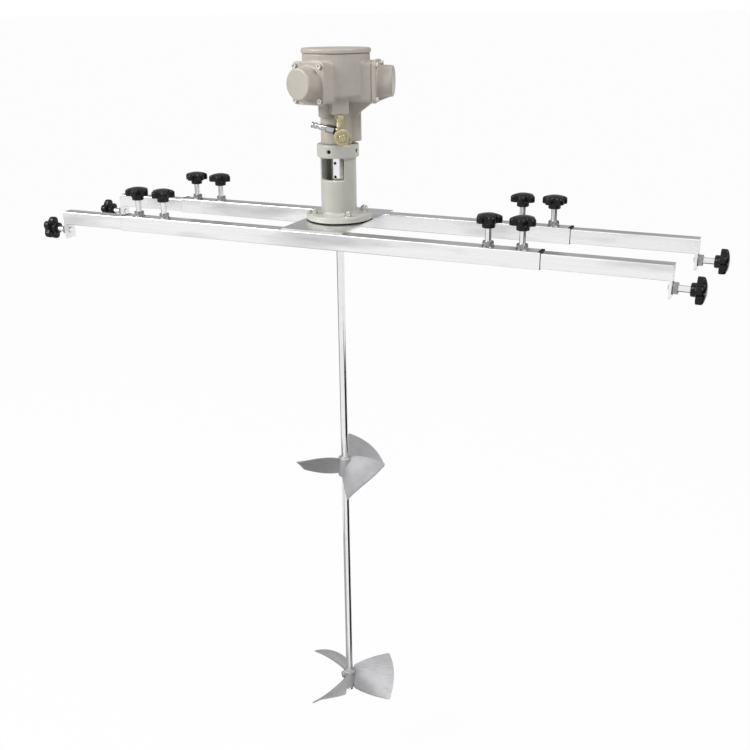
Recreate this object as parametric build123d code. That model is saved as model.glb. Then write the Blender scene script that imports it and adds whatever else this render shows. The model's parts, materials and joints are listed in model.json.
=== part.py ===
from build123d import *
import os
from math import cos, pi, radians, sin, tan

# Air-driven tank agitator on a pair of telescoping cross beams, in millimetres.
# Origin: on the shaft axis, in the plane of the tank rim that the arms rest on.
# +Z up, +X along the beams, -Y the side with the coupling window.

# ---- Driving dimensions -----------------------------------------------------

cut_past = 1.0              # how far a cut runs past the surface it opens
join_depth = 1.0            # how far joined shapes run into each other
least_corner = 0.3          # smallest inside corner of a tube

# Cross beams: square-tube sleeves, with a telescoping arm in each end.
sleeve_spacing = 220.0      # between the centre lines of the two sleeves
sleeve_length = 910.0
sleeve_size = 32.0          # outside of the square tube
sleeve_wall = 1.5
tube_corner = 2.0           # outside corner radius of every tube
arm_side_gap = 0.5          # each side of an arm, in its sleeve
arm_floor_gap = 0.3         # under an arm
arm_top_gap = 0.7           # over an arm
arm_wall = 1.5
arm_length = 440.0
arm_reach = {               # shaft axis to the outer face of each hook plate
    "front_left": 613.0,
    "front_right": 684.0,
    "rear_left": 632.0,
    "rear_right": 698.0,
}

# Hook plate that hangs outside the tank wall, at the end of each arm.
hook_thickness = 5.0
hook_drop = 31.0            # below the underside of the arm
hook_corner = 2.0
clamp_axis_drop = 14.0      # clamp screw axis below the underside of the arm

# Knob screws: M12 stud in a welded nut, with a five-lobed knob.
stud_diameter = 12.0
stud_chamfer = 1.2
thread_clearance = 0.08     # radial, stud in nut and knob on stud
nut_flats = 19.0
nut_thickness = 10.0
lock_screw_offsets = (37.0, 101.0)   # from the sleeve end
lock_stud_show = 24.0       # bare stud between nut and knob, screw tightened
lock_tip_gap = 0.3          # tip of a tightened lock screw over its arm
clamp_stud_show = 20.0
clamp_tip_poke = 2.5        # tip beyond the inner face of the hook plate
knob_hub_diameter = 24.0
knob_hub_height = 12.0
knob_diameter = 50.0
knob_head_height = 15.0
knob_lobes = 5
knob_lobe_radius = 8.5
knob_valley_radius = 17.5
knob_valley_fillet = 3.0
knob_rim_height = 8.0       # where the domed top meets the lobes
knob_edge = 1.5
knob_bore_depth = 16.0
knob_turn_step = 29.0       # each knob rests at its own angle

# Mounting plate and the foot of the column.
plate_length = 134.0        # along X
plate_thickness = 4.0
plate_corner = 3.0
gasket_thickness = 2.0
flange_diameter = 134.0
flange_thickness = 12.0
flange_edge = 2.0
foot_fillet = 5.0
shaft_opening = 44.0        # hole in plate and gasket
bolt_circle = 108.0
bolt_diameter = 8.0
bolt_hole_gap = 0.3         # radial
bolt_head_flats = 13.0
bolt_head_height = 5.5
bolt_nut_thickness = 6.5
bolt_end_show = 2.0

# Column with the coupling window, and the clamping collar on its top.
column_diameter = 72.0
column_bore = 50.0
column_bore_depth_below_window = 12.0
window_rise = 68.0          # flange top to window sill
window_height = 44.0
window_width = 50.0
window_corner = 4.0
collar_diameter = 84.0
collar_height = 26.0
collar_edge = 1.5
collar_screw_count = 4
collar_screw_diameter = 8.0
collar_screw_length = 12.0
collar_screw_sink = 2.5     # screw end below the collar surface

# Air motor: neck, drum, lid and three radial cylinders.
neck_diameter = 67.0
neck_height = 91.0
drum_diameter = 132.0
drum_height = 81.0
drum_fillet = 6.0
lid_diameter = 136.0
lid_thickness = 9.0
lid_edge = 2.0
lid_step = 1.2              # shallow field inside the lid rim
lid_rim_width = 5.0
spigot_length = 21.0
spigot_gap = 0.1            # radial, in the collar
cylinder_azimuths = {"front": -104.4, "right": 15.6, "rear": 135.6}
cylinder_rise = 28.0        # cylinder axis above the underside of the drum
block_inset = 2.0           # a block's side behind the edge of its cover
block_corner = 8.0
block_reach = 75.0          # shaft axis to the joint face of the cover
cover_ear = 8.5             # cover screw axis to the edge of the cover
cover_thickness = 8.0
cover_corner = 10.0
cover_edge = 2.0            # rib foot to the edge of the cover
cap_diameter = 62.0
cap_length = 30.0
cap_taper = 3.0             # degrees
cap_edge = 2.0
cap_rib_width = 22.0        # web under the cap
cover_screw_pitch = 63.0
cover_screw_diameter = 6.0
cover_screw_head = 10.0
cover_screw_head_height = 5.0
cover_screw_depth = 12.0
cover_screw_end_gap = 1.0   # under a cover screw, in its hole
cover_screw_socket = 4.8    # across flats
screw_hole_gap = 0.1        # radial

# Air ducts cast between the cylinders and the neck.
duct_reach = 48.0
duct_width = 30.0
duct_shoulder = 20.0        # height of the sloping shoulder under a cylinder
long_duct_foot = 5.0        # end of a long duct above the collar
short_duct_drop = 28.0      # length of the short duct below its cylinder

# Throttle valve and hose plug under a port block on the neck.
valve_azimuth = -56.5
port_width = 33.0
port_height = 32.0
port_reach = 52.0
port_corner = 2.5
valve_diameter = 17.0
valve_neck_gap = 1.5        # valve body to motor neck
valve_foot = 8.0            # bottom of the valve above the collar
valve_nut_flats = 18.0
valve_nut_height = 8.0
valve_knob_rise = 18.0      # knob axis above the collar
valve_boss_diameter = 14.0
valve_boss_reach = 59.0
valve_stem_diameter = 8.0
valve_stem_depth = 12.0
knob_wheel_diameter = 33.0
knob_wheel_width = 10.0
knob_wheel_notches = 30
knob_wheel_notch_depth = 0.9
knob_wheel_dish = 4.0       # depth of the hollow in its face
knob_wheel_gap = 1.0        # wheel to the end of its boss
plug_rise = 27.0            # plug axis above the collar, at the valve
plug_tilt = 15.0            # degrees above horizontal
plug_root = 11.0            # valve axis to the ring at the plug's root
plug_ring_diameter = 16.0
plug_ring_width = 3.0
plug_ring_lip = 1.5         # ring beyond the spigot it sits on
plug_hex_flats = 14.0
plug_hex_length = 15.0
plug_waist_diameter = 9.5
plug_waist_length = 7.0
plug_nose_diameter = 12.0
plug_nose_length = 22.0
plug_nose_chamfer = 1.0
plug_groove_width = 4.0
plug_groove_depth = 1.2
plug_bore = 7.0
plug_bore_floor = 4.0       # solid metal behind the bore

# Shafts, coupling and bearings.
shaft_diameter = 16.0
shaft_end_show = 10.5       # shaft below the lower propeller's hub
shaft_chamfer = 1.0
motor_shaft_diameter = 14.0
motor_shaft_length = 66.0
motor_shaft_gap = 1.0       # radial, in the motor casting
motor_shaft_end_gap = 2.0
coupling_diameter = 30.0
coupling_chamfer = 1.5
coupling_end_gap = 4.0      # under the motor spigot and over the bore floor
coupling_shaft_gap = 3.0    # between the two shaft ends inside the coupling
coupling_screw_inset = 13.0
running_gap = 0.06          # radial, shaft in bearing
seat_gap = 0.03             # radial, hub on shaft
bearing_diameter = 35.0
bearing_width = 11.0
bush_diameter = 30.0
bush_length = 30.0
bush_shoulder = 3.0         # radial step over the bush
set_screw_diameter = 6.0
set_screw_socket = 3.0      # depth
set_screw_sink = 0.5        # outer end of a set screw below the surface
set_screw_tip_gap = 0.1     # tip of a set screw to the shaft

# Propellers.
propeller_diameter = 216.0
propeller_heights = {"upper": -525.0, "lower": -1094.0}
propeller_azimuths = {"upper": 204.4, "lower": 24.4}
blade_root_angle = 60.0     # degrees from horizontal, at the hub
blade_tip_angle = 30.0
blade_count = 3
blade_root_width = 26.0     # across the blade in plan, at the hub
blade_tip_width = 96.0      # across the blade in plan, at the tip
blade_tip_fillet = 4.0
blade_root_thickness = 5.0
blade_tip_thickness = 2.4
blade_camber = 0.07         # of the chord
hub_diameter = 30.0
hub_height = 45.0
hub_chamfer = 1.5
hub_boss_diameter = 15.0
hub_boss_reach = 19.0
hub_screw_azimuths = {"upper": 8.0, "lower": 222.0}

# ---- Derived levels and fits ------------------------------------------------

sleeve_bottom = -arm_floor_gap - sleeve_wall
sleeve_top = sleeve_bottom + sleeve_size
arm_width = sleeve_size - 2 * sleeve_wall - 2 * arm_side_gap
arm_height = sleeve_size - 2 * sleeve_wall - arm_floor_gap - arm_top_gap
plate_top = sleeve_top + plate_thickness
gasket_top = plate_top + gasket_thickness
flange_top = gasket_top + flange_thickness
window_bottom = flange_top + window_rise
window_top = window_bottom + window_height
collar_top = window_top + collar_height
drum_bottom = collar_top + neck_height
drum_top = drum_bottom + drum_height
cylinder_z = drum_bottom + cylinder_rise
spigot_bottom = collar_top - spigot_length
bore_floor = window_bottom - column_bore_depth_below_window
coupling_top = spigot_bottom - coupling_end_gap
coupling_bottom = bore_floor + coupling_end_gap
coupling_middle = (coupling_top + coupling_bottom) / 2
shaft_end = hub_height / 2 + shaft_end_show - propeller_heights["lower"]     # below the rim plane
stud_radius = stud_diameter / 2
thread_radius = stud_radius + thread_clearance
bolt_radius = bolt_diameter / 2
set_screw_radius = set_screw_diameter / 2
valve_reach = neck_diameter / 2 + valve_neck_gap + valve_diameter / 2
port_bottom = drum_bottom - port_height
cover_size = cover_screw_pitch + 2 * cover_ear
block_size = cover_size - 2 * block_inset
bolt_places = PolarLocations(bolt_circle / 2, 4, start_angle=45)

BELOW = (Align.CENTER, Align.CENTER, Align.MIN)     # a solid standing on its place


# ---- Shared shapes ----------------------------------------------------------

def save(name, *shapes):
    """Writes one sub-part, which may be a group of separate solids."""
    solids = [solid for shape in shapes for solid in shape.solids()]
    whole = solids[0] if len(solids) == 1 else Compound(solids)
    export_step(whole, f"parts/{name}.step")


def rod(radius, bottom, top):
    """A cylinder on the Z axis between two heights."""
    return Pos(0, 0, bottom) * Cylinder(radius, top - bottom, align=BELOW)


def hexagon(flats, bottom, top):
    """A hexagonal prism on the Z axis between two heights."""
    outline = RegularPolygon(flats / 2, 6, major_radius=False)
    return Pos(0, 0, bottom) * extrude(outline, top - bottom)


def outward(azimuth, reach, height):
    """A place whose local Z axis points away from the shaft axis."""
    return Pos(0, 0, height) * Rot(0, 0, azimuth) * Pos(reach, 0, 0) * Rot(0, 90, 0)


def square_tube(width, height, wall, length, corner):
    """A square tube along X, centred, its underside at z = 0."""
    outside = RectangleRounded(width, height, corner)
    inside = RectangleRounded(width - 2 * wall, height - 2 * wall, max(corner - wall, least_corner))
    lying = Pos(-length / 2, 0, height / 2) * Rot(0, 90, 0) * Rot(0, 0, 90)
    return lying * extrude(outside - inside, length)


def set_screw(radius, length):
    """A socket set screw, its outer end at z = 0 and its body below."""
    return rod(radius, -length, 0) - hexagon(radius, -set_screw_socket, 0)


# ---- Cross beams ------------------------------------------------------------

def lock_positions():
    """X of the lock screws of one sleeve."""
    half = sleeve_length / 2
    return [side * (half - offset) for side in (-1, 1) for offset in lock_screw_offsets]


def make_sleeve(y):
    """A sleeve with its screw holes in the top wall."""
    tube = Pos(0, 0, sleeve_bottom) * square_tube(
        sleeve_size, sleeve_size, sleeve_wall, sleeve_length, tube_corner
    )
    hole = rod(stud_radius + bolt_hole_gap, sleeve_top - 2 * sleeve_wall, sleeve_top + sleeve_wall)
    for x in lock_positions():
        tube -= Pos(x, 0, 0) * hole
    return Pos(0, y, 0) * tube


def make_nut(thickness):
    """A chamfered weld nut with its bore, standing on z = 0."""
    blank = hexagon(nut_flats, 0, thickness)
    crown_radius = nut_flats / 2 + thickness
    crown = Cone(crown_radius, nut_flats / 2 * 0.96, thickness * 1.05, align=BELOW)
    return (blank & crown) - rod(thread_radius, 0, thickness)


def make_arm(side):
    """An arm along X whose outer end is at x = 0 and whose body runs inwards."""
    tube = square_tube(arm_width, arm_height, arm_wall, arm_length, tube_corner)
    return Pos(-side * arm_length / 2, 0, 0) * tube


def make_hook(side):
    """The hook plate of an arm, its outer face at x = 0, and the weld nut outside it."""
    plate = Pos(-side * hook_thickness / 2, 0, (arm_height - hook_drop) / 2) * Box(
        hook_thickness, arm_width, arm_height + hook_drop
    )
    plate = fillet(plate.edges().filter_by(Axis.X), hook_corner)
    facing = Pos(0, 0, -clamp_axis_drop) * Rot(0, side * 90, 0)
    plate -= facing * rod(stud_radius + bolt_hole_gap, -2 * hook_thickness, hook_thickness)
    return plate, facing * make_nut(nut_thickness)


def beam_y(corner):
    """Y of the sleeve that an arm slides in."""
    return -sleeve_spacing / 2 if corner.startswith("front") else sleeve_spacing / 2


def beam_side(corner):
    """+1 for an arm that reaches towards +X, -1 for the other way."""
    return 1 if corner.endswith("right") else -1


def make_beams():
    save("front_sleeve", make_sleeve(-sleeve_spacing / 2))
    save("rear_sleeve", make_sleeve(sleeve_spacing / 2))
    for corner, reach in arm_reach.items():
        side = beam_side(corner)
        end = Pos(side * reach, beam_y(corner), 0)
        save(f"{corner}_arm", end * Pos(-side * hook_thickness, 0, 0) * make_arm(side))
        save(f"{corner}_hook", *[end * piece for piece in make_hook(side)])


# ---- Knob screws ------------------------------------------------------------

def make_stud(length):
    """A screw stud along Z, its chamfered tip at z = 0."""
    stud = rod(stud_radius, 0, length)
    return chamfer(stud.edges().sort_by(Axis.Z)[0], stud_chamfer)


def make_knob():
    """A domed star knob with a hub below it, the hub standing on z = 0."""
    lobe_reach = knob_diameter / 2 - knob_lobe_radius
    star = Circle(knob_valley_radius)
    star += PolarLocations(lobe_reach, knob_lobes) * Circle(knob_lobe_radius)
    valleys = star.vertices().sort_by(SortBy.DISTANCE)[:2 * knob_lobes]
    star = fillet(valleys, knob_valley_fillet)
    edge = knob_diameter / 2
    fall = knob_head_height - knob_rim_height
    dome = Polyline(
        (0, 0),
        (edge - knob_edge, 0),
        (edge, knob_edge),
        (edge, knob_rim_height),
        (edge * 0.88, knob_head_height - fall * 0.45),
        (edge * 0.62, knob_head_height - fall * 0.12),
        (edge * 0.3, knob_head_height),
        (0, knob_head_height),
        close=True,
    )
    head = extrude(star, knob_head_height) & revolve(Plane.XZ * make_face(dome), Axis.Z)
    hub = rod(knob_hub_diameter / 2, 0, knob_hub_height + join_depth)
    hub = chamfer(hub.edges().sort_by(Axis.Z)[0], knob_edge)
    knob = Pos(0, 0, knob_hub_height) * head + hub
    return knob - rod(thread_radius, 0, knob_bore_depth)


def make_knob_screws():
    knob = make_knob()
    stud_seat = knob_bore_depth - lock_tip_gap
    lock_tip = arm_height + lock_tip_gap
    lock_hub = sleeve_top + nut_thickness + lock_stud_show
    lock_stud = make_stud(lock_hub + stud_seat - lock_tip)
    nut = make_nut(nut_thickness)
    nuts = []
    turn = 0
    for beam, y in (("front", -sleeve_spacing / 2), ("rear", sleeve_spacing / 2)):
        for number, x in enumerate(lock_positions(), 1):
            name = f"{beam}_lock_{number}"
            nuts.append(Pos(x, y, sleeve_top) * nut)
            save(f"{name}_stud", Pos(x, y, lock_tip) * lock_stud)
            save(f"{name}_knob", Pos(x, y, lock_hub) * Rot(0, 0, turn) * knob)
            turn += knob_turn_step
    save("lock_nuts", *nuts)

    clamp_tip = -hook_thickness - clamp_tip_poke
    clamp_hub = nut_thickness + clamp_stud_show
    clamp_stud = make_stud(clamp_hub + stud_seat - clamp_tip)
    for corner, reach in arm_reach.items():
        side = beam_side(corner)
        facing = Pos(side * reach, beam_y(corner), -clamp_axis_drop) * Rot(0, side * 90, 0)
        save(f"{corner}_clamp_stud", facing * Pos(0, 0, clamp_tip) * clamp_stud)
        save(f"{corner}_clamp_knob", facing * Pos(0, 0, clamp_hub) * Rot(0, 0, turn) * knob)
        turn += knob_turn_step


# ---- Mounting plate, foot bolts and column ----------------------------------

def make_plate():
    width = sleeve_spacing + sleeve_size
    plate = extrude(RectangleRounded(plate_length, width, plate_corner), plate_thickness)
    plate = Pos(0, 0, sleeve_top) * plate
    return plate - foot_holes(sleeve_top, plate_top) - rod(shaft_opening / 2, sleeve_top, plate_top)


def foot_holes(bottom, top):
    """The four bolt holes through plate, gasket and flange."""
    return bolt_places * rod(bolt_radius + bolt_hole_gap, bottom, top)


def make_gasket():
    ring = rod(flange_diameter / 2, plate_top, gasket_top) - rod(shaft_opening / 2, plate_top, gasket_top)
    return ring - foot_holes(plate_top, gasket_top)


def make_foot_bolts():
    end = sleeve_top - bolt_nut_thickness - bolt_end_show
    head = hexagon(bolt_head_flats, flange_top, flange_top + bolt_head_height)
    bolt = head + rod(bolt_radius, end, flange_top)
    nut = hexagon(bolt_head_flats, sleeve_top - bolt_nut_thickness, sleeve_top)
    nut -= rod(bolt_radius + thread_clearance, sleeve_top - bolt_nut_thickness, sleeve_top)
    save("foot_bolts", *[place * bolt for place in bolt_places])
    save("foot_nuts", *[place * nut for place in bolt_places])


def make_column():
    foot = rod(flange_diameter / 2, gasket_top, flange_top)
    foot = chamfer(foot.edges().sort_by(Axis.Z)[-1], flange_edge)
    column = foot + rod(column_diameter / 2, gasket_top, collar_top)
    root = column.edges().filter_by(GeomType.CIRCLE)
    root = root.filter_by(lambda e: abs(e.radius - column_diameter / 2) < 0.01
                          and abs(e.center().Z - flange_top) < 0.01)
    column = fillet(root, foot_fillet)
    collar = rod(collar_diameter / 2, window_top, collar_top)
    column += chamfer(collar.edges().filter_by(GeomType.CIRCLE), collar_edge)
    column -= rod(column_bore / 2, bore_floor, collar_top)
    column -= rod(bush_diameter / 2, gasket_top, gasket_top + bush_length)
    column -= rod(bush_diameter / 2 - bush_shoulder, gasket_top, bore_floor)
    window = Box(window_width, column_diameter, window_height)
    window = fillet(window.edges().filter_by(Axis.Y), window_corner)
    column -= Pos(0, -column_diameter / 2, (window_bottom + window_top) / 2) * window
    column -= foot_holes(gasket_top, flange_top)
    for place in collar_screw_places():
        column -= place * rod(collar_screw_diameter / 2, -collar_diameter / 4, collar_screw_sink + cut_past)
    return column


def collar_screw_places():
    """Outer ends of the collar's clamping screws, local Z pointing outwards."""
    step = 360 / collar_screw_count
    reach = collar_diameter / 2 - collar_screw_sink
    height = collar_top - collar_height / 2
    return [outward(-90 + step * n, reach, height) for n in range(collar_screw_count)]


def make_collar_screws():
    screw = set_screw(collar_screw_diameter / 2 - seat_gap, collar_screw_length)
    save("collar_screws", *[place * screw for place in collar_screw_places()])


# ---- Air motor --------------------------------------------------------------

def make_duct(foot, shoulder_reach):
    """A duct cast on the neck in local +X, from its foot up into a cylinder block."""
    top = cylinder_z
    round_face = Pos(duct_reach - duct_width / 2, 0, 0) * rod(duct_width / 2, foot, top)
    web = Pos((duct_reach - duct_width / 2) / 2, 0, (foot + top) / 2) * Box(
        duct_reach - duct_width / 2, duct_width, top - foot
    )
    duct = web + round_face
    if shoulder_reach:
        block_bottom = cylinder_z - block_size / 2
        low = block_bottom - duct_shoulder
        profile = Polyline(
            (duct_reach - duct_width / 2, low - duct_shoulder),
            (duct_reach, low),
            (shoulder_reach, block_bottom),
            (shoulder_reach, block_bottom + block_corner),
            (duct_reach - duct_width / 2, block_bottom + block_corner),
            close=True,
        )
        duct += extrude(Plane.XZ * make_face(profile), duct_width / 2, both=True)
    return duct


def cover_screw_holes(bottom, top):
    """The four screw holes of one cylinder cover."""
    hole = rod(cover_screw_diameter / 2 + screw_hole_gap, bottom, top)
    return GridLocations(cover_screw_pitch, cover_screw_pitch, 2, 2) * hole


def make_motor_body():
    drum = rod(drum_diameter / 2, drum_bottom, drum_top)
    body = fillet(drum.edges().sort_by(Axis.Z)[0], drum_fillet)
    body += rod(neck_diameter / 2, collar_top, drum_bottom + drum_fillet)
    for name, azimuth in cylinder_azimuths.items():
        around = Rot(0, 0, azimuth)
        foot = collar_top + long_duct_foot
        if name == "front":
            foot = cylinder_z - block_size / 2 - short_duct_drop
        body += around * make_duct(foot, 0 if name == "front" else block_reach)
    port = Box(port_reach, port_width, port_height)
    port = fillet(port.edges().filter_by(Axis.X), port_corner)
    body += Rot(0, 0, valve_azimuth) * Pos(port_reach / 2, 0, drum_bottom - port_height / 2) * port
    body += rod(column_bore / 2 - spigot_gap, spigot_bottom, collar_top)
    block = extrude(RectangleRounded(block_size, block_size, block_corner), block_reach)
    for azimuth in cylinder_azimuths.values():
        place = outward(azimuth, 0, cylinder_z)
        body += place * block
        body -= [place * hole for hole in cover_screw_holes(block_reach - cover_screw_depth, block_reach)]
    body -= rod(motor_shaft_diameter / 2 + motor_shaft_gap, spigot_bottom, spigot_bottom + motor_shaft_length)
    body -= rod(bearing_diameter / 2 + seat_gap, spigot_bottom, spigot_bottom + bearing_width)
    return body


def make_lid():
    lid = rod(lid_diameter / 2, drum_top, drum_top + lid_thickness)
    lid = chamfer(lid.edges().sort_by(Axis.Z)[-1], lid_edge)
    top = drum_top + lid_thickness
    return lid - rod(lid_diameter / 2 - lid_rim_width, top - lid_step, top + lid_step)


def make_cover():
    """A cylinder cover with its cap, standing on local z = 0; local +X points down."""
    flange = extrude(RectangleRounded(cover_size, cover_size, cover_corner), cover_thickness)
    cap_end = cap_diameter / 2 - cap_length * tan(radians(cap_taper))
    cap = Cone(cap_diameter / 2, cap_end, cap_length, align=BELOW)
    cap = chamfer(cap.edges().sort_by(Axis.Z)[-1], cap_edge)
    rib_end = cover_thickness + cap_length * 0.8
    rib = Polyline(
        (0, cover_thickness),
        (cover_size / 2 - cover_edge, cover_thickness),
        (cap_diameter / 2 - cap_edge, rib_end),
        (0, rib_end),
        close=True,
    )
    cover = flange + Pos(0, 0, cover_thickness) * cap
    cover += extrude(Plane.XZ * make_face(rib), cap_rib_width / 2, both=True)
    return cover - cover_screw_holes(0, cover_thickness)


def make_covers():
    cover = make_cover()
    under = cover_thickness
    screw = rod(cover_screw_diameter / 2, cover_screw_end_gap - cover_screw_depth, under)
    head = rod(cover_screw_head / 2, under, under + cover_screw_head_height)
    top = under + cover_screw_head_height
    screw += head - hexagon(cover_screw_socket, top - cover_screw_head_height / 2, top)
    screws = []
    for name, azimuth in cylinder_azimuths.items():
        place = outward(azimuth, block_reach, cylinder_z)
        save(f"{name}_cylinder_cover", place * cover)
        for corner in GridLocations(cover_screw_pitch, cover_screw_pitch, 2, 2):
            screws.append(place * corner * screw)
    save("cover_screws", *screws)


# ---- Throttle valve and hose plug -------------------------------------------

def make_valve():
    """The brass valve body, in local axes with +X pointing out of the neck."""
    foot = collar_top + valve_foot
    body = rod(valve_diameter / 2, foot, port_bottom)
    body += Rot(0, 0, 30) * hexagon(valve_nut_flats, port_bottom - valve_nut_height, port_bottom)
    body = Pos(valve_reach, 0, 0) * body
    boss_axis = Pos(valve_reach, 0, collar_top + valve_knob_rise) * Rot(0, 90, 0)
    boss_length = valve_boss_reach - valve_reach
    body += boss_axis * rod(valve_boss_diameter / 2, 0, boss_length)
    body += valve_plug_axis() * rod(plug_ring_diameter / 2 - plug_ring_lip, 0, plug_root)
    stem_hole = rod(valve_stem_diameter / 2 + running_gap, boss_length - valve_stem_depth, boss_length)
    return body - boss_axis * stem_hole


def valve_plug_axis():
    """Local Z runs along the plug, from the valve axis outwards."""
    return Pos(valve_reach, 0, collar_top + plug_rise) * Rot(90 - plug_tilt, 0, 0)


def make_valve_knob():
    """The knurled wheel and its stem, in the valve's local axes."""
    radius = knob_wheel_diameter / 2
    count = 2 * knob_wheel_notches
    points = []
    for n in range(count):
        r = radius - knob_wheel_notch_depth * (n % 2)
        points.append((r * cos(2 * pi * n / count), r * sin(2 * pi * n / count)))
    wheel = extrude(make_face(Polyline(*points, close=True)), knob_wheel_width)
    wheel -= Pos(0, 0, knob_wheel_width) * Cone(radius * 0.45, radius * 0.62, knob_wheel_dish)
    stem = rod(valve_stem_diameter / 2, knob_wheel_gap - valve_stem_depth, join_depth)
    facing = Pos(valve_boss_reach + knob_wheel_gap, 0, collar_top + valve_knob_rise) * Rot(0, 90, 0)
    return facing * (wheel + stem)


def make_plug():
    """The steel hose plug with its bore."""
    start = plug_root + plug_ring_width
    hex_end = start + plug_hex_length
    waist_end = hex_end + plug_waist_length
    nose_end = waist_end + plug_nose_length
    plug = hexagon(plug_hex_flats, start, hex_end)
    plug += rod(plug_waist_diameter / 2, hex_end, waist_end)
    nose = rod(plug_nose_diameter / 2, waist_end, nose_end)
    groove = nose_end - plug_nose_length / 2
    groove_end = groove + plug_groove_width
    core = rod(plug_nose_diameter / 2 - plug_groove_depth, groove, groove_end)
    nose -= rod(plug_nose_diameter, groove, groove_end) - core
    plug += chamfer(nose.edges().sort_by(Axis.Z)[-1], plug_nose_chamfer)
    return valve_plug_axis() * (plug - rod(plug_bore / 2, start + plug_bore_floor, nose_end))


def make_throttle():
    around = Rot(0, 0, valve_azimuth)
    ring = rod(plug_ring_diameter / 2, plug_root, plug_root + plug_ring_width)
    save("throttle_body", around * make_valve())
    save("throttle_knob", around * make_valve_knob())
    save("air_plug", around * make_plug())
    save("plug_ring", around * valve_plug_axis() * ring)


# ---- Shafts, coupling, bearings and propellers ------------------------------

def make_bearings():
    race = rod(bearing_diameter / 2, spigot_bottom, spigot_bottom + bearing_width)
    race -= rod(motor_shaft_diameter / 2 + running_gap, spigot_bottom, spigot_bottom + bearing_width)
    save("motor_bearing", race)
    bush = rod(bush_diameter / 2 - seat_gap, gasket_top, gasket_top + bush_length)
    save("shaft_bush", bush - rod(shaft_diameter / 2 + running_gap, gasket_top, gasket_top + bush_length))


def coupling_screw_places():
    heights = (coupling_bottom + coupling_screw_inset, coupling_top - coupling_screw_inset)
    return [outward(-90, coupling_diameter / 2 - set_screw_sink, z) for z in heights]


def make_coupling():
    sleeve = rod(coupling_diameter / 2, coupling_bottom, coupling_top)
    sleeve = chamfer(sleeve.edges().filter_by(GeomType.CIRCLE), coupling_chamfer)
    sleeve -= rod(motor_shaft_diameter / 2 + seat_gap, coupling_middle, coupling_top)
    sleeve -= rod(shaft_diameter / 2 + seat_gap, coupling_bottom, coupling_middle)
    for place in coupling_screw_places():
        sleeve -= place * rod(set_screw_radius + seat_gap, -coupling_diameter / 2, set_screw_sink + cut_past)
    return sleeve


def hub_screw_place(name):
    height = propeller_heights[name] + hub_height / 4
    return outward(hub_screw_azimuths[name], hub_boss_reach - set_screw_sink, height)


def make_set_screws():
    spare = set_screw_sink + shaft_diameter / 2 + set_screw_tip_gap
    coupling_screw = set_screw(set_screw_radius, coupling_diameter / 2 - spare)
    hub_screw = set_screw(set_screw_radius, hub_boss_reach - spare)
    screws = [place * coupling_screw for place in coupling_screw_places()]
    screws += [hub_screw_place(name) * hub_screw for name in propeller_heights]
    save("rotor_set_screws", *screws)


def make_shafts():
    gap = coupling_shaft_gap / 2
    top = spigot_bottom + motor_shaft_length - motor_shaft_end_gap
    save("motor_shaft", rod(motor_shaft_diameter / 2, coupling_middle + gap, top))
    shaft = rod(shaft_diameter / 2, -shaft_end, coupling_middle - gap)
    save("agitator_shaft", chamfer(shaft.edges().filter_by(GeomType.CIRCLE), shaft_chamfer))


def blade_section(reach, angle, chord, thickness):
    """A cambered blade section across local X at one radius, pitched about X."""
    half = chord / 2
    edge = thickness * 0.3
    rise = chord * blade_camber
    with BuildSketch(Plane.YZ.offset(reach)) as section:
        with BuildLine():
            ThreePointArc((-half, edge / 2), (0, rise + thickness / 2), (half, edge / 2))
            Line((half, edge / 2), (half, -edge / 2))
            ThreePointArc((half, -edge / 2), (0, rise - thickness / 2), (-half, -edge / 2))
            Line((-half, -edge / 2), (-half, edge / 2))
        make_face()
    return Rot(angle, 0, 0) * section.sketch


def make_blade():
    """One blade along local X: a cambered, twisted loft, trimmed to its outline in plan."""
    root = hub_diameter / 2
    tip = propeller_diameter / 2
    inner = root * 0.7
    sections = []
    for share in (0, 1 / 3, 2 / 3, 1.06):
        reach = inner + (tip - inner) * share
        angle = blade_root_angle + (blade_tip_angle - blade_root_angle) * share
        width = blade_root_width + (blade_tip_width - blade_root_width) * share
        thickness = blade_root_thickness + (blade_tip_thickness - blade_root_thickness) * share
        sections.append(blade_section(reach, angle, 1.15 * width / cos(radians(angle)), thickness))
    blade = loft(sections)
    half_tip = blade_tip_width / 2
    corner = (tip ** 2 - half_tip ** 2) ** 0.5
    with BuildSketch() as outline:
        with BuildLine():
            Polyline((corner, -half_tip), (inner, -blade_root_width / 2), (inner, blade_root_width / 2),
                     (corner, half_tip))
            ThreePointArc((corner, half_tip), (tip, 0), (corner, -half_tip))
        make_face()
        fillet(outline.vertices().group_by(Axis.X)[-1], blade_tip_fillet)
    return blade & extrude(outline.sketch, propeller_diameter, both=True)


def make_propeller(name):
    height = propeller_heights[name]
    hub = rod(hub_diameter / 2, -hub_height / 2, hub_height / 2)
    hub = chamfer(hub.edges().filter_by(GeomType.CIRCLE), hub_chamfer)
    blade = make_blade()
    for n in range(blade_count):
        hub += Rot(0, 0, 360 / blade_count * n) * blade
    propeller = Pos(0, 0, height) * Rot(0, 0, propeller_azimuths[name]) * hub
    boss = hub_screw_place(name)
    depth = hub_boss_reach - set_screw_sink
    propeller += boss * rod(hub_boss_diameter / 2, -depth, set_screw_sink)
    propeller -= Pos(0, 0, height) * rod(shaft_diameter / 2 + seat_gap, -hub_height, hub_height)
    return propeller - boss * rod(set_screw_radius + seat_gap, -depth, set_screw_sink + cut_past)


# ---- Write every sub-part ---------------------------------------------------

make_beams()
make_knob_screws()
save("mounting_plate", make_plate())
save("flange_gasket", make_gasket())
make_foot_bolts()
save("column", make_column())
make_collar_screws()
save("motor_body", make_motor_body())
save("top_lid", make_lid())
make_covers()
make_throttle()
make_bearings()
save("coupling", make_coupling())
make_set_screws()
make_shafts()
for blades in propeller_heights:
    save(f"{blades}_propeller", make_propeller(blades))
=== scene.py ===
import json
from math import cos, pi, radians, sin, sqrt, tan

import bmesh
import bpy
from mathutils import Matrix, Vector


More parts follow.
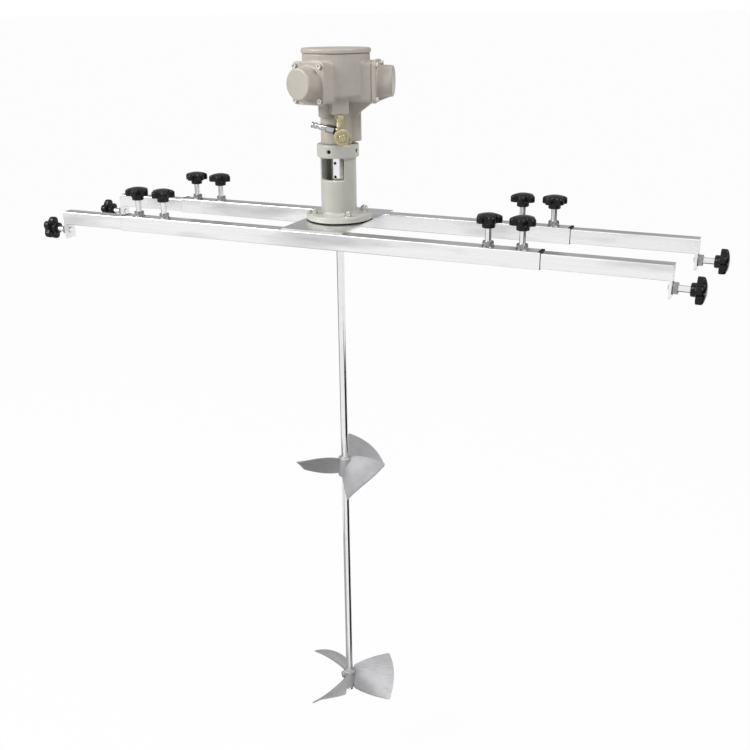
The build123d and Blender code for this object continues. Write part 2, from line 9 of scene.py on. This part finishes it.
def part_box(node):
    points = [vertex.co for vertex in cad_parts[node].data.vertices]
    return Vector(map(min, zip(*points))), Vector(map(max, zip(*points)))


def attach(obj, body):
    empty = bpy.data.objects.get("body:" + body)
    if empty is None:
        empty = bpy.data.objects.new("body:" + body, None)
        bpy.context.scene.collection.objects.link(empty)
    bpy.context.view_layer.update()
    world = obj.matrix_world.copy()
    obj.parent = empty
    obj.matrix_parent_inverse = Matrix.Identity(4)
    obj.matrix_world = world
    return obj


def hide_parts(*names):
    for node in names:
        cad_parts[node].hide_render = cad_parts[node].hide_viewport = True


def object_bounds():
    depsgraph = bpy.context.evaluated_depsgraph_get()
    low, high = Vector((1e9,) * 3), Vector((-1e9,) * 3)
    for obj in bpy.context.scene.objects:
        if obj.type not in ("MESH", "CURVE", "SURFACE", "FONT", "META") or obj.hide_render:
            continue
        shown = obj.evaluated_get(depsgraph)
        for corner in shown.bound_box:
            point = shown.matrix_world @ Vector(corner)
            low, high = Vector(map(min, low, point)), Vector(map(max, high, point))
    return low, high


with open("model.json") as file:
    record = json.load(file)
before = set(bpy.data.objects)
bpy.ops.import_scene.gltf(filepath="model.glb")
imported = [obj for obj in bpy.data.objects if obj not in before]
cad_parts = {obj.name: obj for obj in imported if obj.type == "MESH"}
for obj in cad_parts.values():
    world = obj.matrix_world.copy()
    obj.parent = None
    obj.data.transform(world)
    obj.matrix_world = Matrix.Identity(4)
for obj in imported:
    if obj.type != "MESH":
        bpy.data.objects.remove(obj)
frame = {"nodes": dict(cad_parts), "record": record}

CAD_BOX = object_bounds()
NODES = frame["nodes"]
RECORD = frame["record"]
JOINTS = {joint["name"]: joint for joint in RECORD["behaviour"]["joints"]}
SLOT_OF = {part["node"]: part["material_slot"] for part in RECORD["subparts"]}
BODY_OF = {node: body for body, nodes in RECORD["behaviour"]["bodies"].items() for node in nodes}

# ---- Values, in metres and degrees ------------------------------------------

CAMERA_PLACE = (0.893, -1.801, 0.435)
CAMERA_YAW = 24.4            # to the left of +Y
CAMERA_PITCH = 20.3          # below the horizon
CAMERA_ROLL = -0.6
CAMERA_LENS = 47.4
FLOOR_DROP = 0.16            # floor below the end of the shaft
FLOOR_LEVEL = CAD_BOX[0].z - FLOOR_DROP
FLOOR_SIZE = 900.0
FLOOR_GLOW = 0.965           # share of plain white in what is seen of the floor; the rest takes shadow
CARD_LIFT = 0.01             # floor cards above the floor

MM = 0.001
HOOK_THICKNESS = 5.0         # mm, as are the two below
FLANGE_THICKNESS = 12.0
BOLT_CIRCLE = 108.0
CORNERS = ("front_left", "front_right", "rear_left", "rear_right")
LOCKS = [f"{beam}_lock_{n}" for beam in ("front", "rear") for n in (1, 2, 3, 4)]
SCREWS = LOCKS + [corner + "_clamp" for corner in CORNERS]


# ---- Material helpers -------------------------------------------------------

class Shader:
    """A material's node tree, with one Principled BSDF."""

    def __init__(self, name, **constants):
        self.material = bpy.data.materials.new(name)
        self.material.use_nodes = True
        self.tree = self.material.node_tree
        self.principled = self.tree.nodes["Principled BSDF"]
        for socket, value in constants.items():
            self.principled.inputs[socket.replace("_", " ")].default_value = value
        self.place = self.node("ShaderNodeTexCoord").outputs["Object"]

    def feed(self, socket, value):
        """Links an output to a socket, or sets the socket's own value."""
        if isinstance(value, bpy.types.NodeSocket):
            self.tree.links.new(value, socket)
        else:
            socket.default_value = value

    def node(self, kind, settings=(), **inputs):
        """Adds a node; inputs are named, or numbered as i0, i1 and so on."""
        made = self.tree.nodes.new(kind)
        for key, value in dict(settings).items():
            setattr(made, key, value)
        for key, value in inputs.items():
            numbered = key[0] == "i" and key[1:].isdigit()
            self.feed(made.inputs[int(key[1:]) if numbered else key], value)
        return made

    def stretched(self, scale):
        """Object coordinates scaled along each axis."""
        return self.node("ShaderNodeMapping", Vector=self.place, Scale=scale).outputs["Vector"]

    def noise(self, scale, detail=3.0, roughness=0.55, vector=None):
        made = self.node("ShaderNodeTexNoise", Vector=vector or self.place, Scale=scale,
                         Detail=detail, Roughness=roughness)
        return made.outputs["Fac"]

    def ramp(self, factor, low, high, start=0.3, end=0.7):
        """Values or colours from low to high while factor goes from start to end."""
        made = self.node("ShaderNodeValToRGB", Fac=factor)
        stops = made.color_ramp.elements
        stops[0].position, stops[1].position = start, end
        stops[0].color = colour(low)
        stops[1].color = colour(high)
        return made.outputs["Color"]

    def mix(self, factor, first, second):
        made = self.node("ShaderNodeMix", {"data_type": "RGBA"})
        for number, value in ((0, factor), (6, first), (7, second)):
            self.feed(made.inputs[number], value)
        return made.outputs[2]

    def bump(self, height, strength, distance, normal=None):
        inputs = {"Height": height, "Strength": strength, "Distance": distance}
        if normal:
            inputs["Normal"] = normal
        return self.node("ShaderNodeBump", **inputs).outputs["Normal"]

    def set(self, **links):
        """Links outputs to the Principled BSDF and returns the finished material."""
        for socket, output in links.items():
            self.tree.links.new(output, self.principled.inputs[socket.replace("_", " ")])
        return self.material


def colour(value):
    """A node colour from a grey level or from red, green and blue."""
    return (value, value, value, 1.0) if isinstance(value, float) else (*value, 1.0)


def scaled(tint, share):
    return tuple(share * v for v in tint)


def edge_wear(shader, radius):
    """1 on worn outside edges, 0 on flat faces."""
    bevel = shader.node("ShaderNodeBevel", {"samples": 4}, Radius=radius)
    geometry = shader.node("ShaderNodeNewGeometry")
    dot = shader.node("ShaderNodeVectorMath", {"operation": "DOT_PRODUCT"},
                      i0=bevel.outputs["Normal"], i1=geometry.outputs["Normal"])
    return shader.ramp(dot.outputs["Value"], 1.0, 0.0, 0.93, 0.995)


# ---- Materials --------------------------------------------------------------

def brushed_steel(name, grain, tint=(0.94, 0.94, 0.95)):
    """Stainless steel brushed along one axis; grain is the scale of the streaks on each axis."""
    s = Shader(name, Metallic=1.0, Anisotropic=0.4)
    streaks = s.noise(1.0, 4.0, 0.6, s.stretched(grain))
    smears = s.noise(1.0, 3.0, 0.5, s.stretched((4.0, 26.0, 26.0)))
    shade = s.ramp(streaks, scaled(tint, 0.88), tint, 0.25, 0.75)
    shade = s.mix(s.ramp(smears, 0.0, 0.9, 0.50, 0.80), shade, colour(scaled(tint, 0.5)))
    rough = s.ramp(streaks, 0.20, 0.33)
    return s.set(Base_Color=shade, Roughness=rough, Normal=s.bump(streaks, 0.12, 0.0002))


def polished_steel(name, tint=(0.86, 0.86, 0.86), rough=0.08):
    """Turned and polished steel, with fine rings and faint smudges."""
    s = Shader(name, Metallic=1.0)
    turning = s.noise(1.0, 2.0, 0.5, s.stretched((30.0, 30.0, 900.0)))
    smudge = s.noise(40.0, 3.0)
    shade = s.ramp(smudge, scaled(tint, 0.93), tint)
    level = s.ramp(turning, rough, rough + 0.07)
    return s.set(Base_Color=shade, Roughness=level, Normal=s.bump(turning, 0.05, 0.0001))


def cast_steel(name):
    """Satin propeller casting: fine grain, with faint polishing marks."""
    s = Shader(name, Metallic=1.0)
    grain = s.noise(1400.0, 2.0)
    marks = s.noise(1.0, 3.0, 0.5, s.stretched((60.0, 60.0, 700.0)))
    cloud = s.noise(22.0, 4.0)
    shade = s.ramp(cloud, (0.43, 0.43, 0.44), (0.52, 0.52, 0.53))
    rough = s.ramp(marks, 0.60, 0.76)
    normal = s.bump(grain, 0.25, 0.0001, s.bump(marks, 0.16, 0.0003))
    return s.set(Base_Color=shade, Roughness=rough, Normal=normal)


def casting_paint(name, tint, dust):
    """Semi-gloss paint over a sand casting: soft orange peel, dust in the hollows, pale worn edges."""
    s = Shader(name, Coat_Weight=0.35, Coat_Roughness=0.22)
    peel = s.noise(420.0, 3.0, 0.6)
    skin = s.noise(70.0, 4.0)
    cloud = s.noise(14.0, 4.0)
    shade = s.ramp(cloud, scaled(tint, 0.88), tint)
    shade = s.mix(s.ramp(skin, 0.0, 0.35, 0.5, 0.8), shade, colour(dust))
    shade = s.mix(edge_wear(s, 0.002), shade, colour(scaled(tint, 1.25)))
    rough = s.ramp(peel, 0.34, 0.50)
    normal = s.bump(peel, 0.22, 0.0004, s.bump(skin, 0.30, 0.0014))
    return s.set(Base_Color=shade, Roughness=rough, Normal=normal)


def moulded_plastic(name):
    """Glossy black plastic with a little waviness from its mould."""
    s = Shader(name, Specular_IOR_Level=0.22)
    peel = s.noise(260.0, 2.0)
    cloud = s.noise(60.0, 3.0)
    shade = s.ramp(cloud, (0.006, 0.006, 0.007), (0.013, 0.013, 0.014))
    rough = s.ramp(cloud, 0.09, 0.15)
    return s.set(Base_Color=shade, Roughness=rough, Normal=s.bump(peel, 0.10, 0.0003))


def rubber(name):
    """Dull black rubber."""
    s = Shader(name, Specular_IOR_Level=0.15)
    grain = s.noise(900.0, 3.0)
    shade = s.ramp(grain, (0.008, 0.008, 0.009), (0.018, 0.018, 0.019))
    rough = s.ramp(grain, 0.6, 0.8)
    return s.set(Base_Color=shade, Roughness=rough, Normal=s.bump(grain, 0.3, 0.0002))


def turned_brass(name, tint):
    """Turned brass or bronze with patches of tarnish."""
    s = Shader(name, Metallic=1.0)
    marks = s.noise(1.0, 2.0, 0.5, s.stretched((400.0, 400.0, 1500.0)))
    tarnish = s.noise(90.0, 4.0)
    shade = s.mix(s.ramp(tarnish, 0.0, 0.7, 0.45, 0.75), colour(tint), colour(scaled(tint, 0.55)))
    rough = s.ramp(tarnish, 0.22, 0.38)
    return s.set(Base_Color=shade, Roughness=rough, Normal=s.bump(marks, 0.12, 0.0002))


def plated(name, tint, dark=0.8):
    """Plated or blackened small steel parts."""
    s = Shader(name, Metallic=1.0)
    grain = s.noise(500.0, 3.0)
    shade = s.ramp(grain, scaled(tint, dark), tint)
    rough = s.ramp(grain, 0.20, 0.38)
    return s.set(Base_Color=shade, Roughness=rough, Normal=s.bump(grain, 0.1, 0.0002))


FINISHES = {
    "brushed_stainless": brushed_steel("brushed_stainless", (6.0, 900.0, 900.0)),
    "polished_steel": polished_steel("polished_steel"),
    "cast_stainless": cast_steel("cast_stainless"),
    "black_plastic": moulded_plastic("black_plastic"),
    "motor_paint": casting_paint("motor_paint", (0.52, 0.48, 0.42), (0.38, 0.34, 0.28)),
    "column_paint": casting_paint("column_paint", (0.58, 0.58, 0.52), (0.46, 0.46, 0.39)),
    "brass": turned_brass("brass", (0.54, 0.47, 0.31)),
    "plug_steel": polished_steel("plug_steel", (0.52, 0.52, 0.53), 0.12),
    "zinc_steel": plated("zinc_steel", (0.80, 0.79, 0.74), 0.6),
    "bearing_steel": plated("bearing_steel", (0.58, 0.58, 0.59)),
    "bronze": turned_brass("bronze", (0.55, 0.38, 0.20)),
    "black_rubber": rubber("black_rubber"),
}
# painted shade: near-black steel for the recessed set screws, where their holes lie in shade
RECESS_SHADE_STEEL = plated("recess_shade_steel", (0.05, 0.05, 0.05), 0.6)
NUT_STEEL = plated("nut_steel", (0.44, 0.44, 0.44), 0.4)


def finish_nodes():
    """Each CAD node gets its slot's finish; socket set screws get a near-black steel, painted shade for
    the dark of their recesses.
    """
    for node, slot in SLOT_OF.items():
        set_screws = node in ("collar_screws", "rotor_set_screws")
        slots = NODES[node].data.materials
        slots.clear()
        slots.append(RECESS_SHADE_STEEL if set_screws else FINISHES[slot])


# ---- Mesh helpers -----------------------------------------------------------

def add_piece(name, shape, place, body, slot, replaced=(), sharp=35.0, finish=None):
    """Makes a bmesh a piece of the scene, set at a place and riding on a body."""
    bmesh.ops.recalc_face_normals(shape, faces=shape.faces)
    mesh = bpy.data.meshes.new(name)
    shape.to_mesh(mesh)
    shape.free()
    mesh.shade_smooth()
    mesh.set_sharp_from_angle(angle=radians(sharp))
    mesh.materials.append(finish or FINISHES[slot])
    piece = bpy.data.objects.new(name, mesh)
    bpy.context.collection.objects.link(piece)
    piece.matrix_world = place
    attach(piece, body)
    if replaced:
        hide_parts(*replaced)
    return piece


def skin(shape, rings, closed=False):
    """Faces between rings of points; closed joins the last ring to the first, else both get caps."""
    loops = [[shape.verts.new(point) for point in ring] for ring in rings]
    for first, second in zip(loops, loops[1:] + loops[:1] if closed else loops[1:]):
        for n in range(len(first)):
            m = (n + 1) % len(first)
            shape.faces.new((first[n], first[m], second[m], second[n]))
    if not closed:
        shape.faces.new(loops[0])
        shape.faces.new(loops[-1])
    return shape


def turned(profile, steps=64, radius_at=None, closed=False, shape=None):
    """A turned form about local Z from (radius, height) pairs in mm.

    radius_at(radius, height, angle) may change the radius on the way round.
    """
    rings = []
    for radius, height in profile:
        ring = []
        for n in range(steps):
            angle = 2 * pi * n / steps
            r = radius_at(radius, height, angle) if radius_at else radius
            ring.append((r * cos(angle) * MM, r * sin(angle) * MM, height * MM))
        rings.append(ring)
    return skin(shape or bmesh.new(), rings, closed)


def hexagon_reach(flats, angle):
    """Distance from the middle of a hexagon to its side at an angle, in mm."""
    return flats / 2 / cos((angle + pi / 6) % (pi / 3) - pi / 6)


HEX_STEPS = 72
CHAMFER_REACH = 0.97         # radius of the chamfer's flat, as a share of half the flats
CHAMFER_ANGLE = 30.0


def hex_body(shape, flats, bottom, top):
    """A hexagon in mm, with the curved corners that a chamfer leaves at both ends."""
    rings = []
    for level, inset, inward in ((bottom, True, 1), (bottom, False, 1), (top, False, -1), (top, True, -1)):
        ring = []
        for n in range(HEX_STEPS):
            angle = 2 * pi * n / HEX_STEPS
            corner = hexagon_reach(flats, angle)
            fall = 0 if inset else (corner - flats / 2) * tan(radians(CHAMFER_ANGLE))
            reach = flats / 2 * CHAMFER_REACH if inset else corner
            height = level + inward * fall
            ring.append((reach * cos(angle) * MM, reach * sin(angle) * MM, height * MM))
        rings.append(ring)
    return skin(shape, rings)


def facing(place, axis):
    """A matrix at a place in metres whose local Z points along axis."""
    turn = Vector((0, 0, 1)).rotation_difference(Vector(axis))
    return Matrix.Translation(place) @ turn.to_matrix().to_4x4()


# ---- Castings ---------------------------------------------------------------

def soften(node, voxel, rounds):
    """A casting in place of a CAD node: the same form, with every edge rounded off."""
    casting = bpy.data.objects.new(node + "_casting", NODES[node].data.copy())
    bpy.context.collection.objects.link(casting)
    cells = casting.modifiers.new("cells", "REMESH")
    cells.mode = "VOXEL"
    cells.voxel_size = voxel
    smoothing = casting.modifiers.new("smoothing", "SMOOTH")
    smoothing.factor = 0.5
    smoothing.iterations = rounds
    bpy.context.view_layer.update()
    evaluated = casting.evaluated_get(bpy.context.evaluated_depsgraph_get())
    shaped = bpy.data.meshes.new_from_object(evaluated)
    casting.modifiers.clear()
    casting.data = shaped
    shaped.shade_smooth()
    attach(casting, BODY_OF[node])
    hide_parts(node)


def make_castings():
    for node, voxel, rounds in (
        ("motor_body", 1.5, 6),
        ("top_lid", 1.2, 4),
        ("column", 1.2, 4),
        ("front_cylinder_cover", 1.1, 5),
        ("right_cylinder_cover", 1.1, 5),
        ("rear_cylinder_cover", 1.1, 5),
    ):
        soften(node, voxel * MM, rounds)


# ---- Knob screws ------------------------------------------------------------

KNOB_RADIUS = 25.0           # mm, as are the values below
KNOB_VALLEY = 17.5
LOBE_RADIUS = 8.5
VALLEY_BLEND = 2.4
KNOB_TURN_STEP = 29.0        # each knob rests at its own angle
# radius, height over the hub's end, and how far the valleys cut in, from 0 to 1
KNOB_PROFILE = (
    (10.4, 0.0, 0), (11.6, 0.5, 0), (12.2, 1.6, 0), (12.4, 8.0, 0), (12.8, 9.0, 0), (15.0, 9.4, 0.15),
    (19.0, 9.5, 0.6), (23.4, 9.6, 1), (24.5, 9.9, 1), (24.9, 10.8, 1), (25.0, 13.0, 1), (25.0, 17.0, 1),
    (24.8, 20.0, 1), (24.2, 21.3, 0.98), (22.8, 22.5, 0.84), (20.6, 23.5, 0.62), (17.4, 24.6, 0.38),
    (13.6, 25.6, 0.18), (9.4, 26.4, 0.05), (5.2, 26.9, 0), (1.8, 27.0, 0),
)


def screw_axis(screw):
    """A point on a knob screw's axis, and its direction from the tip to the knob."""
    joint = JOINTS[screw + "_turn"]
    axis = Vector(joint["axis"])
    return Vector(joint["pos_m"]), axis if screw in LOCKS else -axis


def at_level(line, out, level):
    """The point of an axis that lies at a level along its direction."""
    return line + out * (level - line.dot(out))


def valley(angle):
    """How far the star's outline lies inside its circle at an angle, as a share of the radius."""
    off = (angle + pi / 5) % (2 * pi / 5) - pi / 5
    reach = KNOB_RADIUS - LOBE_RADIUS
    inside = LOBE_RADIUS ** 2 - (reach * sin(off)) ** 2
    lobe = reach * cos(off) + sqrt(inside) if inside > 0 else 0
    gap = max(0.0, VALLEY_BLEND - abs(lobe - KNOB_VALLEY)) / VALLEY_BLEND
    outline = max(lobe, KNOB_VALLEY) + gap * gap * VALLEY_BLEND / 4
    return 1 - outline / KNOB_RADIUS


def make_knobs():
    """Domed star knobs with rounded lobes, in place of the CAD knobs."""
    depth = {height: share for _, height, share in KNOB_PROFILE}
    for number, screw in enumerate(SCREWS):
        line, out = screw_axis(screw)
        low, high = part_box(screw + "_knob")
        place = facing(at_level(line, out, min(low.dot(out), high.dot(out))), out)
        place @= Matrix.Rotation(radians(KNOB_TURN_STEP * number), 4, "Z")
        shape = turned([point[:2] for point in KNOB_PROFILE], 120,
                       lambda r, h, angle: r * (1 - depth[h] * valley(angle)))
        add_piece(screw + "_star", shape, place, screw + "_knob", "black_plastic", [screw + "_knob"], 50)


def nut_seat(screw):
    """Where a weld nut stands on its sleeve or hook plate, and the body that carries it."""
    line, out = screw_axis(screw)
    if screw in LOCKS:
        sleeve_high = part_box(screw.split("_")[0] + "_sleeve")[1]
        return at_level(line, out, sleeve_high.z), out, "frame"
    arm = screw.replace("clamp", "arm")
    low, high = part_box(arm)
    hook_face = max(low.dot(out), high.dot(out)) + HOOK_THICKNESS * MM
    return at_level(line, out, hook_face), out, arm


BEAD_RADIUS = 10.5           # mm, as are the values below
BEAD_HALF_WIDTH = 1.5
BEAD_RISE = 1.3
BEAD_BASE = 0.2
BEAD_STEPS = 132
RIPPLES = 22
RIPPLE_DEPTH = 0.18
RIPPLE_FROM = 0.3            # only the bead's crown is rippled


def make_weld_beads():
    """The rippled bead round each weld nut."""
    section = [(BEAD_RADIUS + BEAD_HALF_WIDTH * cos(turn), BEAD_BASE + BEAD_RISE * sin(turn))
               for turn in (0, pi / 4, pi / 2, 3 * pi / 4, pi, 3 * pi / 2)]

    def rippled(radius, height, angle):
        return radius + RIPPLE_DEPTH * sin(RIPPLES * angle) * (height > RIPPLE_FROM)

    for screw in SCREWS:
        place, out, body = nut_seat(screw)
        shape = turned(section, BEAD_STEPS, rippled, True)
        add_piece(screw + "_weld", shape, facing(place, out), body, "brushed_stainless", (), 60, NUT_STEEL)


PLATE_TOLERANCE = 0.05 * MM


def finish_weld_nuts():
    """The weld nuts are darker than the tube and plate they stand on."""
    NODES["lock_nuts"].data.materials[0] = NUT_STEEL
    for corner in CORNERS:
        place, out, _ = nut_seat(corner + "_clamp")
        mesh = NODES[corner + "_hook"].data
        mesh.materials.append(NUT_STEEL)
        for face in mesh.polygons:
            if (face.center - place).dot(out) > PLATE_TOLERANCE:
                face.material_index = 1


SHADE_BAND_GAP = 0.12 * MM         # between the dark band and the arm
SHADE_BAND_WALL = 1.2 * MM
SHADE_BAND_INSIDE = 0.4 * MM       # how far it goes into the sleeve's end
SHADE_BAND_OUTSIDE = 0.8 * MM      # and how far it stands out, short of the hook plate's stop
SHADE_BAND_LIP = 0.3 * MM          # height of the strip on top of the sleeve
SHADE_BAND_STRIP = 5.0 * MM        # and its reach from the end


def make_end_shade_bands():
    """A black band in each sleeve end, round the arm, with a strip over the sleeve's top edge: painted
    shade, a dark piece put where the gap between sleeve and arm lies in shade.
    """
    for corner in CORNERS:
        side = 1 if corner.endswith("right") else -1
        sleeve_low, sleeve_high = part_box(corner.split("_")[0] + "_sleeve")
        arm_low, arm_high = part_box(corner + "_arm")
        end = sleeve_high.x if side > 0 else sleeve_low.x
        near, far = end - side * SHADE_BAND_INSIDE, end + side * SHADE_BAND_OUTSIDE
        lip_top = sleeve_high.z + SHADE_BAND_LIP

        def section(x, out_by, bottom, top):
            left, right = arm_low.y - out_by, arm_high.y + out_by
            return [(x, left, bottom), (x, right, bottom), (x, right, top), (x, left, top)]

        inner = (SHADE_BAND_GAP, -SHADE_BAND_GAP, arm_high.z + SHADE_BAND_GAP)     # the arms lie on the rim plane, Z 0
        outer = (SHADE_BAND_WALL, -SHADE_BAND_WALL, lip_top)
        strip = (SHADE_BAND_WALL, sleeve_high.z, lip_top)
        shape = skin(bmesh.new(), [section(near, *inner), section(far, *inner),
                                   section(far, *outer), section(near, *outer)], True)
        skin(shape, [section(end - side * SHADE_BAND_STRIP, *strip), section(near, *strip)])
        # painted shade: black rubber stands in for the shade in the gap at each sleeve's end
        add_piece(corner + "_shade_band", shape, Matrix.Identity(4), "frame", "black_rubber", (), 30)


# ---- Foot fasteners ---------------------------------------------------------

WASHER_PROFILE = ((8.2, 0.0), (8.2, 1.3), (7.9, 1.5), (4.0, 1.5))      # radius, height in mm
STUD_END_PROFILE = ((4.0, 7.8), (4.0, 9.6), (3.6, 10.2), (2.4, 10.7), (0.6, 10.9))
STUD_SHANK_PROFILE = ((0.6, -26.5), (3.4, -26.5), (4.0, -25.7), (4.0, 1.0))
FOOT_NUT_FLATS = 13.0
FOOT_NUT_SPAN = (1.5, 8.0)   # height of its two faces over the flange


def make_foot_nuts():
    """Washer, chamfered nut and rounded stud at each corner of the foot."""
    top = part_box("column")[0].z + FLANGE_THICKNESS * MM
    half = BOLT_CIRCLE / 2 * cos(pi / 4) * MM
    shape = bmesh.new()
    for across in (-1, 1):
        for along in (-1, 1):
            one = turned(WASHER_PROFILE)
            hex_body(one, FOOT_NUT_FLATS, *FOOT_NUT_SPAN)
            turned(STUD_END_PROFILE, shape=one)
            turned(STUD_SHANK_PROFILE, shape=one)
            one.transform(Matrix.Translation((across * half, along * half, top)))
            mesh = bpy.data.meshes.new("one")
            one.to_mesh(mesh)
            one.free()
            shape.from_mesh(mesh)
            bpy.data.meshes.remove(mesh)
    add_piece("foot_nuts_and_studs", shape, Matrix.Identity(4), "frame", "zinc_steel", ["foot_bolts"], 30)


# ---- Throttle wheel and hose plug -------------------------------------------

# radius, height in mm
WHEEL_PROFILE = (
    (4.0, -8.0), (4.0, 0.0), (14.5, 0.0), (15.6, 0.5), (16.5, 1.4), (16.5, 8.6), (15.6, 9.5),
    (14.6, 10.0), (12.6, 10.0), (12.2, 9.0), (10.8, 9.0), (10.4, 9.6), (9.2, 9.6), (8.4, 7.6),
    (6.4, 7.2), (6.0, 9.4), (5.4, 9.9), (2.4, 9.9), (2.0, 8.2), (0.3, 8.0),
)
KNURLS = 60
KNURL_DEPTH = 0.45           # mm, half of it each way
KNURL_FROM = 16.0            # radius from which the rim is knurled
WHEEL_STEPS = 360

PLUG_HEX_FLATS = 14.0        # mm, as are the values below, from the nose's end
PLUG_HEX_SPAN = (-36.0, -21.0)
PLUG_PROFILE = (
    (6.4, -21.4), (6.4, -20.2), (4.8, -19.6), (4.8, -18.6), (5.6, -18.2), (5.6, -16.2), (4.8, -15.8),
    (4.8, -14.4), (6.0, -13.9), (6.0, -9.6), (5.7, -9.2), (4.9, -8.2), (4.9, -3.0), (5.5, -2.2),
    (6.0, -1.8), (6.0, 0.8), (4.7, 2.0), (4.7, 4.0), (5.9, 4.8), (5.9, 7.2), (5.2, 7.9), (3.5, 8.0),
    (3.4, 2.0), (0.3, 2.0),
)


def make_wheel():
    """The knurled brass wheel, with turned rings and a hub in its face."""
    joint = JOINTS["throttle_turn"]

    def knurled(radius, height, angle):
        return radius - KNURL_DEPTH * (1 + cos(KNURLS * angle)) * (radius > KNURL_FROM)

    shape = turned(WHEEL_PROFILE, WHEEL_STEPS, knurled)
    place = facing(joint["pos_m"], joint["axis"])
    add_piece("knurled_wheel", shape, place, "throttle", "brass", ["throttle_knob"], 30)


def make_plug():
    """The turned hose plug: hexagon, waist, grooved nose and collar, about its mount's axis."""
    mount = next(m for m in RECORD["mounts"] if m["name"] == "air_plug_nose")
    shape = bmesh.new()
    hex_body(shape, PLUG_HEX_FLATS, *PLUG_HEX_SPAN)
    turned(PLUG_PROFILE, shape=shape)
    place = facing(mount["pos_m"], mount["axis"])
    add_piece("hose_plug", shape, place, "frame", "plug_steel", ["air_plug"], 30)


# ---- Stage, light and camera ------------------------------------------------

def emission(name, strength):
    """A plain glowing material."""
    made = bpy.data.materials.new(name)
    made.use_nodes = True
    tree = made.node_tree
    tree.nodes.clear()
    glow = tree.nodes.new("ShaderNodeEmission")
    glow.inputs["Strength"].default_value = strength
    out = tree.nodes.new("ShaderNodeOutputMaterial")
    tree.links.new(glow.outputs[0], out.inputs[0])
    return made


def seen_directly(tree):
    """1 for rays from the camera and from reflections, 0 for the rest."""
    path = tree.nodes.new("ShaderNodeLightPath")
    total = tree.nodes.new("ShaderNodeMath")
    total.operation = "ADD"
    total.use_clamp = True
    tree.links.new(path.outputs["Is Camera Ray"], total.inputs[0])
    tree.links.new(path.outputs["Is Glossy Ray"], total.inputs[1])
    return total.outputs[0]


def make_floor():
    """A white sweep that still takes the object's soft shadow."""
    bpy.ops.mesh.primitive_plane_add(size=FLOOR_SIZE, location=(0, 0, FLOOR_LEVEL))
    floor = bpy.context.object
    floor.name = "floor"
    s = Shader("floor", Base_Color=(0.92, 0.92, 0.92, 1.0), Roughness=0.9)
    share = s.node("ShaderNodeMath", {"operation": "MULTIPLY"}, i0=seen_directly(s.tree), i1=FLOOR_GLOW)
    glow = s.node("ShaderNodeEmission", Strength=1.0)
    blend = s.node("ShaderNodeMixShader", i0=share.outputs[0], i1=s.principled.outputs[0],
                   i2=glow.outputs[0])
    s.tree.links.new(blend.outputs[0], s.tree.nodes["Material Output"].inputs[0])
    floor.data.materials.append(s.material)


def make_world():
    """Soft light all round, which the camera and reflections see as plain white."""
    world = bpy.data.worlds.new("studio")
    bpy.context.scene.world = world
    world.use_nodes = True
    tree = world.node_tree
    light = tree.nodes["Background"]
    light.inputs["Color"].default_value = colour(0.85)
    light.inputs["Strength"].default_value = 0.40
    white = tree.nodes.new("ShaderNodeBackground")
    white.inputs["Color"].default_value = colour(1.0)
    blend = tree.nodes.new("ShaderNodeMixShader")
    tree.links.new(seen_directly(tree), blend.inputs[0])
    tree.links.new(light.outputs[0], blend.inputs[1])
    tree.links.new(white.outputs[0], blend.inputs[2])
    tree.links.new(blend.outputs[0], tree.nodes["World Output"].inputs[0])


def make_lamp(name, place, aim, size, power):
    """A square area lamp."""
    lamp = bpy.data.lights.new(name, "AREA")
    lamp.shape = "RECTANGLE"
    lamp.size = lamp.size_y = size
    lamp.energy = power
    holder = bpy.data.objects.new(name, lamp)
    bpy.context.collection.objects.link(holder)
    holder.location = place
    holder.rotation_euler = (Vector(aim) - Vector(place)).to_track_quat("-Z", "Y").to_euler()
    holder.visible_camera = False


def make_card(name, corners, strength):
    """A panel that only reflections see, such as a dark studio flag."""
    mesh = bpy.data.meshes.new(name)
    mesh.from_pydata(corners, [], [(0, 1, 2, 3)])
    card = bpy.data.objects.new(name, mesh)
    bpy.context.collection.objects.link(card)
    mesh.materials.append(emission(name, strength))
    card.visible_camera = False
    card.visible_diffuse = False
    card.visible_shadow = False
    card.visible_transmission = False


def upright(first, second, bottom, top):
    """Corners of an upright panel between two points of the plan."""
    return [(*first, bottom), (*second, bottom), (*second, top), (*first, top)]


def lying(*points):
    """Corners of a panel that lies just over the floor."""
    return [(*point, FLOOR_LEVEL + CARD_LIFT) for point in points]


def make_studio():
    """Lamps, and cards that give the bright metal its dark and grey bands."""
    make_world()
    make_floor()
    make_lamp("key", (-2.4, -2.3, 2.0), (0, 0, 0.1), 2.0, 118.0)
    make_lamp("side", (2.0, -0.4, 2.4), (0, 0, 0.2), 1.2, 40.0)
    low = FLOOR_LEVEL + CARD_LIFT
    make_card("right_flag", upright((1.2, -1.2), (1.2, 1.2), -0.22, 0.05), 0.02)
    make_card("low_right_flag", lying((0.05, -0.04), (3.3, -1.75), (2.3, 2.75), (0.05, 0.06)), 0.02)
    make_card("left_flag", upright((-1.6, -0.49), (-1.6, 3.6), low, 1.2), 0.38)
    make_card("low_left_flag", lying((-0.03, -0.07), (-0.75, -1.77), (-1.6, 3.6), (-0.03, 0.07)), 0.42)
    make_card("back_panel", upright((-7.0, 3.2), (7.0, 3.2), 0.1, 4.5), 0.40)


def make_camera():
    data = bpy.data.cameras.new("camera")
    data.lens = CAMERA_LENS
    camera = bpy.data.objects.new("camera", data)
    bpy.context.collection.objects.link(camera)
    turn = Matrix.Rotation(radians(CAMERA_YAW), 4, "Z")
    turn @= Matrix.Rotation(radians(90 - CAMERA_PITCH), 4, "X")
    turn @= Matrix.Rotation(radians(CAMERA_ROLL), 4, "Z")
    camera.matrix_world = Matrix.Translation(CAMERA_PLACE) @ turn
    bpy.context.scene.camera = camera


# ---- Build ------------------------------------------------------------------

finish_nodes()
finish_weld_nuts()
make_castings()
make_knobs()
make_weld_beads()
make_end_shade_bands()
make_foot_nuts()
make_wheel()
make_plug()
make_studio()
make_camera()
bpy.context.scene.view_settings.view_transform = "Standard"
